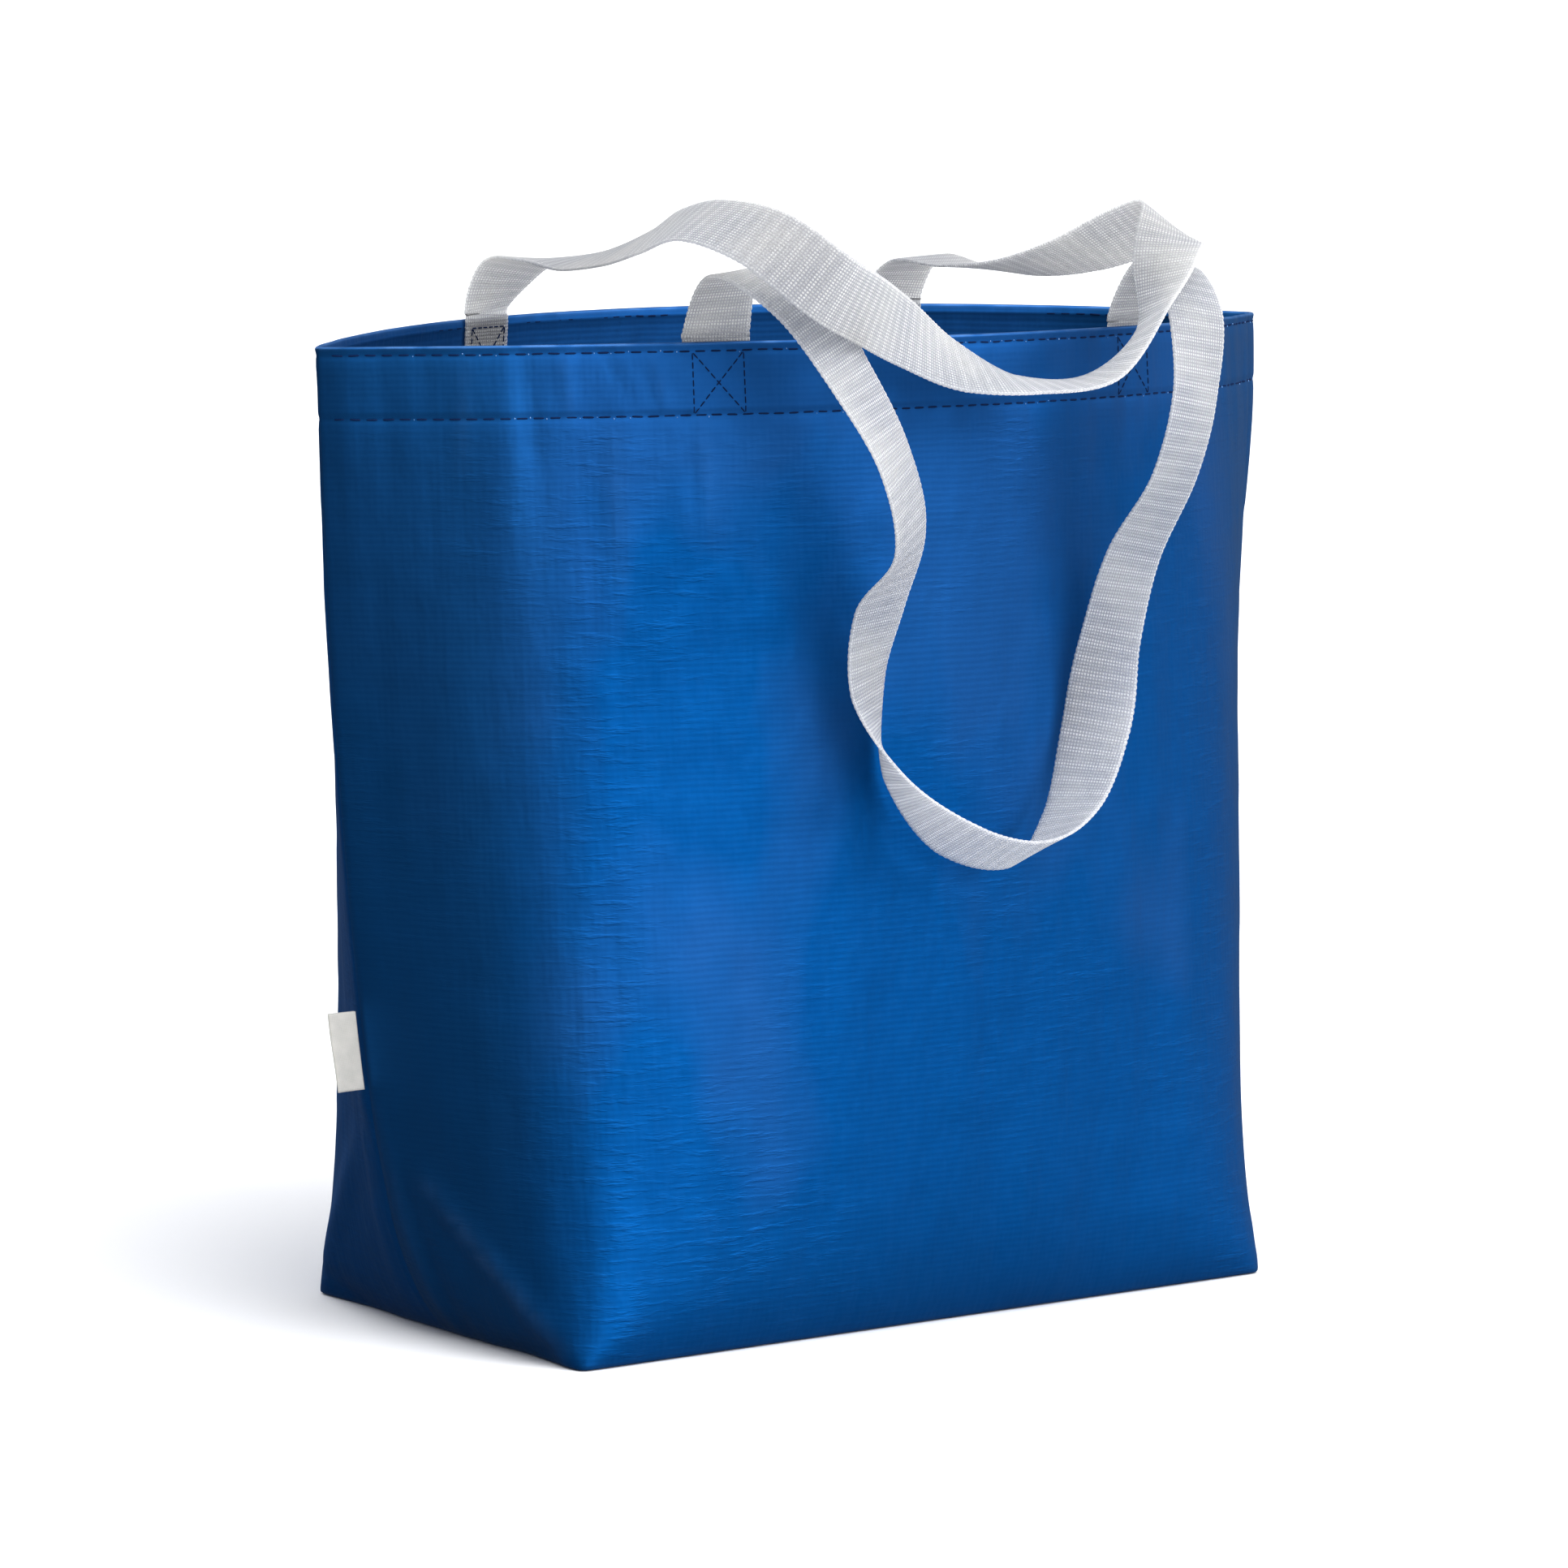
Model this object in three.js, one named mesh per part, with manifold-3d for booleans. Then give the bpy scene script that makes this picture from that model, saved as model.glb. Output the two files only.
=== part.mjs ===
// Carrier bag of laminated woven plastic: one folded and sewn skin with a turned-in hem, two long
// webbing handles sewn to the inside of the hem, the visible stitching and a small side label.
// Millimetres, +Z up, front panel towards -Y. The origin is the middle of the base, on the ground.
import * as THREE from 'three';
import { mergeVertices } from 'three/addons/utils/BufferGeometryUtils.js';
import Module from 'manifold-3d';

const wasm = await Module();
wasm.setup();

// Bag
const bagHeight = 400;
const baseWidth = 350;
const baseDepth = 185;
const wallThickness = 0.8;
const bottomEdgeRadius = 2.5;
const mouthSeamAngle = 44;      // degrees in plan between a panel and the X axis at the side seam
const seamDip = 3.5;            // how much lower the rim is at the side seams
const hemDepth = 31;
const hemSlit = 0.35;           // between the folded-in hem and the wall

// The plan goes from the rectangle of the base to the lens of the mouth. Most of the change is
// even over the height, and some of it happens in the first few centimetres.
const earlyOpening = 0.21;
const earlyOpeningHeight = 43;
const baseCornerSoftness = 2;
const upperCornerSoftness = 32;
const softeningHeight = 30;
const cornerDrift = 17;         // of the softened corner towards the side seam, up at the rim

// Handles
const webbingWidth = 28;
const webbingThickness = 1.4;
const handleSpacing = 215;      // along the rim, between the middles of one handle's two ends
const webbingEndAboveHem = 4;   // from the webbing's end down to the hem's lower edge
const endGap = 0.55;
const riseBeforeBend = 3;       // above the rim, before a handle leaves the wall
const handleRise = 48;          // of a handle's highest point above the rim
const frontHandleDrop = 206;    // of the front handle's lowest point below the rim

// Stitching
const threadWidth = 0.9;
const threadHeight = 0.5;
const threadGap = 0.3;
const upperRowBelowRim = 3.5;
const lowerRowAboveHemEdge = 2.5;
const crossInset = 3.5;         // of the crossed box of stitches from the webbing's edges

// Side label, a folded strip sewn into the left seam
const labelHeight = 32;
const labelReach = 13;
const labelLayer = 0.35;
const labelFoldGap = 0.3;
const labelMiddleHeight = 119;
const labelGap = 0.35;

// Mesh density
const seamToCorner = 6;         // steps over half of the base's short side
const cornerToMiddle = 11;      // steps over half of the base's long side
const wallRings = [0.022, 0.045, 0.08, 0.13, 0.2, 0.3, 0.42, 0.55, 0.68, 0.8, 0.9];
const foldSteps = 4;            // round the rim
const edgeSteps = 3;            // round the bottom edge
const planSteps = 160;
const stepsPerHandle = 110;
const stepsPerLabel = 4;

const panelHalf = (baseWidth + baseDepth) / 2;
const hemInner = wallThickness + hemSlit;
const hemFace = hemInner + wallThickness;
const lowerRowBelowRim = hemDepth - lowerRowAboveHemEdge;

const materials = {
  skin: { color: 0x0b529a, roughness: 0.42 },
  webbing: { color: 0xd2d2d6, roughness: 0.85 },
  thread: { color: 0x10264f, roughness: 0.8 },
  label: { color: 0xd8d7da, roughness: 0.8 },
};

const object = new THREE.Group();

function addMesh(name, materialName, geometry) {
  const material = new THREE.MeshStandardMaterial({ metalness: 0, ...materials[materialName] });
  material.name = materialName;
  const mesh = new THREE.Mesh(geometry, material);
  mesh.name = name;
  object.add(mesh);
}

// Direction of the skin in plan, in radians from the X axis, at a distance from the side seam
function planAngle(distance, height) {
  const early = 1 - Math.exp(-height / earlyOpeningHeight);
  const earlyAtTop = 1 - Math.exp(-bagHeight / earlyOpeningHeight);
  const opening = earlyOpening * early + (1 - earlyOpening * earlyAtTop) * height / bagHeight;
  const softness = baseCornerSoftness + upperCornerSoftness * (1 - Math.exp(-height / softeningHeight));
  const cornerAt = baseDepth / 2 - cornerDrift * height / bagHeight;
  const corner = (1 - Math.tanh((distance - cornerAt) / softness)) / 2;
  const cornerLeft = (1 - Math.tanh((panelHalf - cornerAt) / softness)) / 2;
  const mouthAngle = THREE.MathUtils.degToRad(mouthSeamAngle) * (1 - distance / panelHalf);
  return (1 - opening) * Math.PI / 2 * (corner - cornerLeft) + opening * mouthAngle;
}

// One quarter of the plan at a height, from the side seam to the middle of the panel. The skin
// doesn't stretch, so the plan is found by walking along it.
const quarterPlans = new Map();

function quarterPlan(height) {
  if (!quarterPlans.has(height)) {
    const step = panelHalf / planSteps;
    const walk = [[0, 0]];
    for (let i = 0; i < planSteps; i += 1) {
      const angle = planAngle((i + 0.5) * step, height);
      const [x, y] = walk[i];
      walk.push([x + step * Math.cos(angle), y + step * Math.sin(angle)]);
    }
    const [reach, depth] = walk[planSteps];
    quarterPlans.set(height, walk.map(([x, y]) => [reach - x, y, depth]));
  }
  return quarterPlans.get(height);
}

// A point of the wall's outer face. along runs round the bag: 0 is the middle of the front panel,
// positive towards the right seam at panelHalf, the middle of the back panel at 2 * panelHalf and
// the left seam at -panelHalf. height is measured up the middle of a panel, and inward is the
// distance to the inside of the outer face.
function skinPoint(along, height, inward = 0) {
  const girth = 4 * panelHalf;
  const turn = ((along % girth) + girth) % girth;
  const quarter = Math.min(3, Math.floor(turn / panelHalf));
  const within = turn - quarter * panelHalf;
  const fromSeam = quarter % 2 === 0 ? panelHalf - within : within;
  const plan = quarterPlan(height);
  const place = fromSeam / panelHalf * planSteps;
  const index = Math.min(planSteps - 1, Math.floor(place));
  const share = place - index;
  const x = plan[index][0] * (1 - share) + plan[index + 1][0] * share;
  const y = plan[index][1] * (1 - share) + plan[index + 1][1] * share;
  const angle = planAngle(fromSeam, height);
  const rightSide = quarter < 2 ? 1 : -1;
  const backSide = quarter === 1 || quarter === 2 ? 1 : -1;
  // At the seam the two panels meet at a corner, where the inner face is further in than its offset.
  const seamStretch = fromSeam < 1e-6 ? 1 / Math.sin(angle) : 1;
  const inX = fromSeam < 1e-6 ? seamStretch : Math.sin(angle);
  const inY = fromSeam < 1e-6 ? 0 : Math.cos(angle);
  const dip = seamDip * (1 - fromSeam / panelHalf) ** 2 * height / bagHeight;
  return new THREE.Vector3(rightSide * (x - inX * inward), backSide * (y - inY * inward), height - dip);
}

// Distances round the bag at which the rings have their points
function ringPlaces() {
  const quarter = [];
  for (let i = 0; i < seamToCorner; i += 1) {
    quarter.push(panelHalf - baseDepth / 2 * i / seamToCorner);
  }
  for (let i = 0; i < cornerToMiddle; i += 1) {
    quarter.push(baseWidth / 2 * (1 - i / cornerToMiddle));
  }
  const right = quarter.concat([0]).reverse();
  const half = right.concat(quarter.slice(1).map((place) => 2 * panelHalf - place), [2 * panelHalf]);
  const rest = half.slice(1, -1).reverse().map((place) => 4 * panelHalf - place);
  return half.concat(rest);
}

// The skin's section, from the middle of the underside up the outer face, over the rim, down the
// turned-in hem, up the slit behind it and down the inner face
function skinSection() {
  const section = [];
  const hemHeights = [bagHeight - hemDepth, bagHeight - hemDepth / 2];
  const wallHeights = wallRings.map((share) => share * bagHeight)
    .filter((height) => height < hemHeights[0]);
  const upTo = (heights, inward) => heights.forEach((height) => section.push([height, inward]));
  const foldRadius = hemFace / 2;
  const foldMiddle = bagHeight - foldRadius;
  const innerRadius = bottomEdgeRadius - wallThickness;
  for (let step = 0; step <= edgeSteps; step += 1) {
    const angle = step / edgeSteps * Math.PI / 2;
    const height = bottomEdgeRadius * (1 - Math.cos(angle));
    section.push([height, bottomEdgeRadius * (1 - Math.sin(angle))]);
  }
  upTo(wallHeights.concat(hemHeights), 0);
  for (let step = 0; step <= foldSteps; step += 1) {
    const angle = step / foldSteps * Math.PI;
    const height = foldMiddle + foldRadius * Math.sin(angle);
    section.push([height, foldRadius * (1 - Math.cos(angle))]);
  }
  upTo(hemHeights.toReversed(), hemFace);
  upTo(hemHeights.concat([foldMiddle]), hemInner);
  upTo([foldMiddle].concat(hemHeights.toReversed(), wallHeights.toReversed()), wallThickness);
  for (let step = edgeSteps; step >= 0; step -= 1) {
    const angle = step / edgeSteps * Math.PI / 2;
    const height = bottomEdgeRadius - innerRadius * Math.cos(angle);
    section.push([height, bottomEdgeRadius - innerRadius * Math.sin(angle)]);
  }
  return section;
}

function closedGeometry(positions, faces) {
  const geometry = new THREE.BufferGeometry();
  geometry.setAttribute('position', new THREE.Float32BufferAttribute(positions, 3));
  geometry.setIndex(faces);
  return geometry;
}

// Points and faces of a skin that runs round the bag with the given section
function roundTheBag(section) {
  const places = ringPlaces();
  const count = places.length;
  const positions = [];
  const faces = [];
  section.forEach(([height, inward]) => {
    places.forEach((place) => positions.push(...skinPoint(place, height, inward).toArray()));
  });
  const joinRings = (low, high) => {
    for (let i = 0; i < count; i += 1) {
      const next = (i + 1) % count;
      faces.push(low * count + i, low * count + next, high * count + next);
      faces.push(low * count + i, high * count + next, high * count + i);
    }
  };
  for (let ring = 0; ring + 1 < section.length; ring += 1) {
    joinRings(ring, ring + 1);
  }
  return { count, positions, faces, joinRings };
}

function bagBody() {
  const section = skinSection();
  const { count, positions, faces } = roundTheBag(section);
  const lastRing = (section.length - 1) * count;
  const underside = section.length * count;
  positions.push(0, 0, 0);
  positions.push(0, 0, wallThickness);
  for (let i = 0; i < count; i += 1) {
    const next = (i + 1) % count;
    faces.push(underside, next, i);
    faces.push(underside + 1, lastRing + i, lastRing + next);
  }
  return closedGeometry(positions, faces);
}

// A line of stitches round the hem, as one flat thread on the outer face
function stitchRow(belowRim) {
  const low = bagHeight - belowRim - threadWidth / 2;
  const high = low + threadWidth;
  const outer = -threadGap - threadHeight;
  const section = [[low, outer], [high, outer], [high, -threadGap], [low, -threadGap]];
  const { positions, faces, joinRings } = roundTheBag(section);
  joinRings(section.length - 1, 0);
  return closedGeometry(positions, faces);
}

function mergedBox(width, depth, height, widthSteps = 1, heightSteps = 1) {
  const box = new THREE.BoxGeometry(width, depth, height, widthSteps, 1, heightSteps);
  box.deleteAttribute('normal');
  box.deleteAttribute('uv');
  return mergeVertices(box);
}

// Moves each vertex of a geometry to where place(x, y, z) says
function bent(geometry, place) {
  const position = geometry.attributes.position;
  for (let i = 0; i < position.count; i += 1) {
    const moved = place(position.getX(i), position.getY(i), position.getZ(i));
    position.setXYZ(i, moved.x, moved.y, moved.z);
  }
  return geometry;
}

function solidOf(geometry) {
  const vertProperties = new Float32Array(geometry.attributes.position.array);
  const triVerts = new Uint32Array(geometry.index.array);
  return new wasm.Manifold(new wasm.Mesh({ numProp: 3, vertProperties, triVerts }));
}

// The box of stitches with a cross in it that holds a handle's end, on the outer face
function crossStitch(along) {
  const height = lowerRowBelowRim - upperRowBelowRim - 2 * (threadWidth + threadGap);
  const width = webbingWidth - 2 * crossInset;
  const middle = bagHeight - (lowerRowBelowRim + upperRowBelowRim) / 2;
  const plate = solidOf(mergedBox(width, threadHeight, height));
  const hole = solidOf(mergedBox(width - 2 * threadWidth, 2 * threadHeight, height - 2 * threadWidth));
  const diagonals = [1, -1].map((side) => {
    const bar = mergedBox(Math.hypot(width, height), threadHeight, threadWidth);
    bar.rotateY(side * Math.atan2(height, width));
    return solidOf(bar).intersect(plate);
  });
  const flat = plate.subtract(hole).add(diagonals[0]).add(diagonals[1]).getMesh();
  const geometry = closedGeometry(flat.vertProperties, Array.from(flat.triVerts));
  const outFromFace = threadGap + threadHeight / 2;
  return bent(geometry, (x, y, z) => skinPoint(along + x, middle + z, y - outFromFace));
}

// The bag's greatest depth in front of its middle, at any height
const frontReach = Math.max(...wallRings.concat([0, 1])
  .map((share) => quarterPlan(share * bagHeight)[0][2]));

// One end of a handle: flat on the inside of the hem, from its lower end to just above the rim.
// Each station is the middle of the webbing and the direction across it.
function sewnStations({ along, acrossSign }) {
  const half = webbingWidth / 2;
  const edges = [-half, half].map((offset) => skinPoint(along + offset, bagHeight));
  const bow = edges[0].clone().add(edges[1]).divideScalar(2)
    .distanceTo(skinPoint(along, bagHeight));
  const inward = hemFace + endGap + bow + webbingThickness / 2;
  const across = edges[1].sub(edges[0]).normalize().multiplyScalar(acrossSign);
  const lowEnd = bagHeight - hemDepth + webbingEndAboveHem;
  const atRim = skinPoint(along, bagHeight, inward);
  const leaving = atRim.clone().setZ(atRim.z + riseBeforeBend);
  return [skinPoint(along, lowEnd, inward), atRim, leaving].map((middle) => ({ middle, across }));
}

function freeStation([acrossShare, outShare, riseShare, ...direction]) {
  const x = acrossShare * skinPoint(handleSpacing / 2, bagHeight).x;
  const y = outShare * frontReach;
  const rise = riseShare * (riseShare > 0 ? handleRise : frontHandleDrop);
  const across = new THREE.Vector3(...direction).normalize();
  return { middle: new THREE.Vector3(x, y, bagHeight + rise), across };
}

// Where a handle goes between its ends, from left to right. Each row is the middle of the
// webbing, and then the direction across it from the handle's outer edge to its inner edge:
// x in half the distance between the ends, y in the depth of the bag's front, and the height over
// the rim in handle rises or, below the rim, in front handle drops.
const frontHandleRoute = [
  // over the rim and down in front of the panel
  [-1.01, -0.88, 0.56, 0.99, 0.02, 0.11],
  [-0.93, -1.15, 0.4, 0.91, 0, 0.42],
  [-0.79, -1.28, -0.05, 0.86, 0.33, 0.39],
  [-0.65, -1.38, -0.21, 0.81, 0.45, 0.38],
  [-0.53, -1.33, -0.37, 0.84, 0.4, 0.36],
  [-0.51, -1.13, -0.51, 0.99, 0.12, 0.09],
  [-0.49, -1.04, -0.67, 0.9, 0.42, 0.1],
  // turns on edge and swings along the bottom of its loop
  [-0.4, -1.1, -0.84, 0.35, 0.93, -0.16],
  [-0.18, -1.2, -0.96, -0.04, 0.88, -0.48],
  [0.15, -1.22, -1, -0.11, 0.86, -0.49],
  [0.43, -1.13, -0.93, -0.27, 0.95, -0.17],
  // up again and back over the rim
  [0.61, -1.05, -0.78, -0.65, 0.75, 0.11],
  [0.7, -1.02, -0.61, -0.96, 0.21, 0.2],
  [0.75, -1.09, -0.44, -0.98, 0, 0.19],
  [0.82, -1.24, -0.28, -0.97, -0.19, 0.13],
  [0.88, -1.28, -0.12, -0.97, -0.19, 0.15],
  [0.94, -1.19, 0.23, -0.97, 0.13, 0.2],
  [1.01, -0.93, 0.52, -0.99, 0.1, 0.11],
];
const backHandleRoute = [
  // forward over the mouth
  [-0.99, 0.57, 0.44, 0.98, -0.1, -0.17],
  [-1.02, 0.26, 0.54, 0.99, -0.12, 0.02],
  [-1.07, -0.04, 0.58, 0.95, -0.11, 0.3],
  [-1.11, -0.35, 0.71, 0.87, -0.05, 0.49],
  [-1.17, -0.64, 0.88, 0.79, 0.01, 0.61],
  [-1.21, -0.95, 1, 0.84, 0.03, 0.54],
  [-1.16, -1.25, 0.88, 0.74, -0.02, 0.67],
  // across the front, sagging onto the panel
  [-0.98, -1.42, 0.5, 0.48, -0.28, 0.83],
  [-0.75, -1.33, 0.31, 0.41, -0.1, 0.9],
  [-0.46, -1.19, 0.08, 0.38, 0.2, 0.9],
  [-0.15, -1.13, -0.05, 0.34, 0.66, 0.66],
  [0.14, -1.18, -0.09, 0.23, 0.96, 0.18],
  [0.44, -1.25, -0.08, 0.18, 0.98, -0.03],
  [0.67, -1.26, 0.1, 0.24, 0.92, -0.32],
  // folds over itself and goes back over the mouth
  [0.82, -1.17, 0.65, -0.55, 0.83, -0.03],
  [1, -0.96, 0.88, -0.71, 0.36, 0.61],
  [1.07, -0.67, 0.77, -0.73, 0.18, 0.66],
  [1.02, -0.38, 0.54, -0.89, 0.02, 0.45],
  [0.98, -0.08, 0.4, -0.97, -0.06, 0.24],
  [0.97, 0.25, 0.38, -1, 0, 0.03],
  [0.98, 0.57, 0.4, -1, 0.05, -0.07],
];

// A flat webbing from one sewn end to the other
function handle(leftEnd, route, rightEnd) {
  const rightStations = sewnStations(rightEnd).toReversed();
  const stations = sewnStations(leftEnd).concat(route.map(freeStation), rightStations);
  const middles = new THREE.CatmullRomCurve3(stations.map(({ middle }) => middle));
  const crossings = new THREE.CatmullRomCurve3(stations.map(({ across }) => across));
  middles.arcLengthDivisions = 40 * stations.length;
  const webbing = mergedBox(webbingWidth, webbingThickness, 1, 2, stepsPerHandle);
  return bent(webbing, (x, y, z) => {
    const time = middles.getUtoTmapping(z + 0.5);
    const forward = middles.getTangent(time);
    const face = forward.clone().cross(crossings.getPoint(time)).normalize();
    const across = face.clone().cross(forward);
    return middles.getPoint(time).addScaledVector(across, x).addScaledVector(face, y);
  });
}

// The label: a strip folded over at its outer end, its two ends in the seam
function sideLabel() {
  const half = labelLayer + labelFoldGap / 2;
  const outline = new THREE.Shape();
  outline.moveTo(0, half);
  outline.lineTo(0, labelFoldGap / 2);
  outline.lineTo(labelReach - half, labelFoldGap / 2);
  outline.lineTo(labelReach - half, -labelFoldGap / 2);
  outline.lineTo(0, -labelFoldGap / 2);
  outline.lineTo(0, -half);
  outline.lineTo(labelReach - half, -half);
  outline.absarc(labelReach - half, 0, half, -Math.PI / 2, Math.PI / 2, false);
  const options = { depth: labelHeight, steps: stepsPerLabel, bevelEnabled: false, curveSegments: 6 };
  const strip = new THREE.ExtrudeGeometry(outline, options);
  strip.deleteAttribute('normal');
  strip.deleteAttribute('uv');
  return bent(mergeVertices(strip), (x, y, z) => {
    const seam = skinPoint(-panelHalf, labelMiddleHeight - labelHeight / 2 + z);
    return new THREE.Vector3(seam.x - labelGap - x, -y, seam.z);
  });
}

// Where the four sewn ends are, and whether the way round the bag runs from a handle's outer edge
// to its inner edge there (1) or back (-1)
const backMiddle = 2 * panelHalf;
const sewnEnds = {
  front_left: { along: -handleSpacing / 2, acrossSign: 1 },
  front_right: { along: handleSpacing / 2, acrossSign: -1 },
  back_left: { along: backMiddle + handleSpacing / 2, acrossSign: -1 },
  back_right: { along: backMiddle - handleSpacing / 2, acrossSign: 1 },
};

addMesh('bag_body', 'skin', bagBody());
addMesh('front_handle', 'webbing', handle(sewnEnds.front_left, frontHandleRoute, sewnEnds.front_right));
addMesh('back_handle', 'webbing', handle(sewnEnds.back_left, backHandleRoute, sewnEnds.back_right));
addMesh('upper_hem_stitches', 'thread', stitchRow(upperRowBelowRim));
addMesh('lower_hem_stitches', 'thread', stitchRow(lowerRowBelowRim));
Object.entries(sewnEnds).forEach(([place, { along }]) => {
  addMesh(`${place}_cross_stitch`, 'thread', crossStitch(along));
});
addMesh('side_label', 'label', sideLabel());

export default object;
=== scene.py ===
import math

import bmesh
import bpy
import numpy as np
from mathutils import Matrix, Vector


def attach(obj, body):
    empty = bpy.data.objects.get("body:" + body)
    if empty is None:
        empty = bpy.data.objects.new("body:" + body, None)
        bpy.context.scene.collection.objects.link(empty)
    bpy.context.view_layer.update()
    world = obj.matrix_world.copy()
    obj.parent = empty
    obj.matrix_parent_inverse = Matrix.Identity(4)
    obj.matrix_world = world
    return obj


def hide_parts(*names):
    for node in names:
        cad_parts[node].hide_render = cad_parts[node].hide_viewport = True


# Carrier bag of laminated woven plastic with two long webbing handles.
# Metres, +Z up, front panel towards -Y, the middle of the base on the ground at the origin.

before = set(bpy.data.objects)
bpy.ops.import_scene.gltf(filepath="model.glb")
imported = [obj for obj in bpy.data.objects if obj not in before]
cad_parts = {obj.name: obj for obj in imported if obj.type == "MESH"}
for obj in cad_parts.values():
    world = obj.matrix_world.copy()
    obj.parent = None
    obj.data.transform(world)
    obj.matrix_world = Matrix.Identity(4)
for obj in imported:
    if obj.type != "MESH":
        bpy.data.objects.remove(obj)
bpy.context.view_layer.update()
scene = bpy.context.scene
print("frame loaded")


# camera, floor and light

studio = {
    "cameraPlace": (-1.7502, -2.2731, 0.5839),
    "cameraAzimuth": -37.457,   # degrees; 0 looks along +Y
    "cameraElevation": 7.45,
    "cameraRoll": 0.717,
    "lens": 161.22,             # mm
    "sensor": 36,
    "clip": (0.05, 200),
    "floorSize": 90.0,
    "floorDrop": 0.0004,        # the floor lies this far under the base
    "floorColour": (0.86, 0.865, 0.87, 1),
    "darkSide": (0.10, 0.10, 0.11, 1),     # the studio behind the bag and to its left
    "brightSide": (0.66, 0.66, 0.68, 1),   # in front and to its right
    "brightFrom": (0.56, -0.70, 0.45),
    "washRange": (-0.3, 0.9),              # how soon the dark side turns into the bright one
    "backdrop": (0.86, 0.87, 0.89, 1),
    "printGamma": 0.88,                    # the photograph's firmer contrast
    # azimuth, elevation, strength, width of the lamp in degrees, colour
    "lamps": {
        "frontSoftbox": (4, 12, 1.58, 46, (1.0, 0.985, 0.965)),
        "leftSoftbox": (-50, 40, 0.40, 50, (1.0, 0.99, 0.98)),
        "rightSoftbox": (40, 24, 1.0, 22, (1.0, 0.99, 0.98)),
        "highSoftbox": (0, 64, 2.7, 60, (0.99, 0.99, 1.0)),
        "rearSoftbox": (188, 30, 1.6, 50, (0.98, 0.99, 1.0)),
    },
}


def turnedAxes(azimuth, elevation, roll=0.0):
    # right, up and back of something that stands at that azimuth and looks at the bag
    a, e, r = (math.radians(v) for v in (azimuth, elevation, roll))
    back = Vector((math.sin(a) * math.cos(e), -math.cos(a) * math.cos(e), math.sin(e)))
    right = Vector((math.cos(a), math.sin(a), 0))
    up = back.cross(right)
    turned = right * math.cos(r) + up * math.sin(r)
    return turned, up * math.cos(r) - right * math.sin(r), back


def placeCamera():
    data = bpy.data.cameras.new("camera")
    data.sensor_width, data.lens = studio["sensor"], studio["lens"]
    data.clip_start, data.clip_end = studio["clip"]
    camera = bpy.data.objects.new("camera", data)
    axes = turnedAxes(studio["cameraAzimuth"], studio["cameraElevation"], studio["cameraRoll"])
    camera.matrix_world = (Matrix.Translation(studio["cameraPlace"])
                           @ Matrix(axes).transposed().to_4x4())
    scene.collection.objects.link(camera)
    scene.camera = camera


def layFloor():
    bm = bmesh.new()
    bmesh.ops.create_grid(bm, x_segments=1, y_segments=1, size=studio["floorSize"] / 2,
                          matrix=Matrix.Translation((0, 0, -studio["floorDrop"])))
    mesh = bpy.data.meshes.new("floor")
    bm.to_mesh(mesh)
    bm.free()
    floor = bpy.data.objects.new("floor", mesh)
    scene.collection.objects.link(floor)
    paint = bpy.data.materials.new("paleFloor")
    paint.use_nodes = True
    shader = paint.node_tree.nodes["Principled BSDF"]
    shader.inputs["Base Color"].default_value = studio["floorColour"]
    shader.inputs["Roughness"].default_value = 0.9
    shader.inputs["Specular IOR Level"].default_value = 0.1
    mesh.materials.append(paint)
    floor.visible_glossy = False   # the satin film doesn't mirror it


def hangLamps():
    for name, (azimuth, elevation, strength, width, colour) in studio["lamps"].items():
        data = bpy.data.lights.new(name, "SUN")
        data.energy, data.angle, data.color = strength, math.radians(width), colour
        lamp = bpy.data.objects.new(name, data)
        lamp.matrix_world = Matrix(turnedAxes(azimuth, elevation)).transposed().to_4x4()
        scene.collection.objects.link(lamp)
    world = bpy.data.worlds.new("studio")
    world.use_nodes = True
    tree = world.node_tree
    direction = tree.nodes.new("ShaderNodeTexCoord").outputs["Generated"]
    facing = tree.nodes.new("ShaderNodeVectorMath")
    facing.operation = "DOT_PRODUCT"
    facing.inputs[1].default_value = studio["brightFrom"]
    tree.links.new(direction, facing.inputs[0])
    ramp = tree.nodes.new("ShaderNodeMapRange")
    ramp.interpolation_type = "SMOOTHSTEP"
    for socket, value in zip(("From Min", "From Max"), studio["washRange"]):
        ramp.inputs[socket].default_value = value
    tree.links.new(facing.outputs["Value"], ramp.inputs["Value"])
    wash = tree.nodes.new("ShaderNodeMix")
    wash.data_type = "RGBA"
    wash.inputs[6].default_value = studio["darkSide"]
    wash.inputs[7].default_value = studio["brightSide"]
    tree.links.new(ramp.outputs[0], wash.inputs[0])
    # past the floor's edge the backdrop itself is plain
    seen = tree.nodes.new("ShaderNodeMix")
    seen.data_type = "RGBA"
    seen.inputs[7].default_value = studio["backdrop"]
    tree.links.new(wash.outputs[2], seen.inputs[6])
    cameraRay = tree.nodes.new("ShaderNodeLightPath").outputs["Is Camera Ray"]
    tree.links.new(cameraRay, seen.inputs[0])
    tree.links.new(seen.outputs[2], tree.nodes["Background"].inputs["Color"])
    scene.world = world


placeCamera()
layFloor()
hangLamps()
scene.view_settings.view_transform = "Standard"
scene.view_settings.gamma = studio["printGamma"]
print("studio ready")


# the bag's smooth shape

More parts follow.
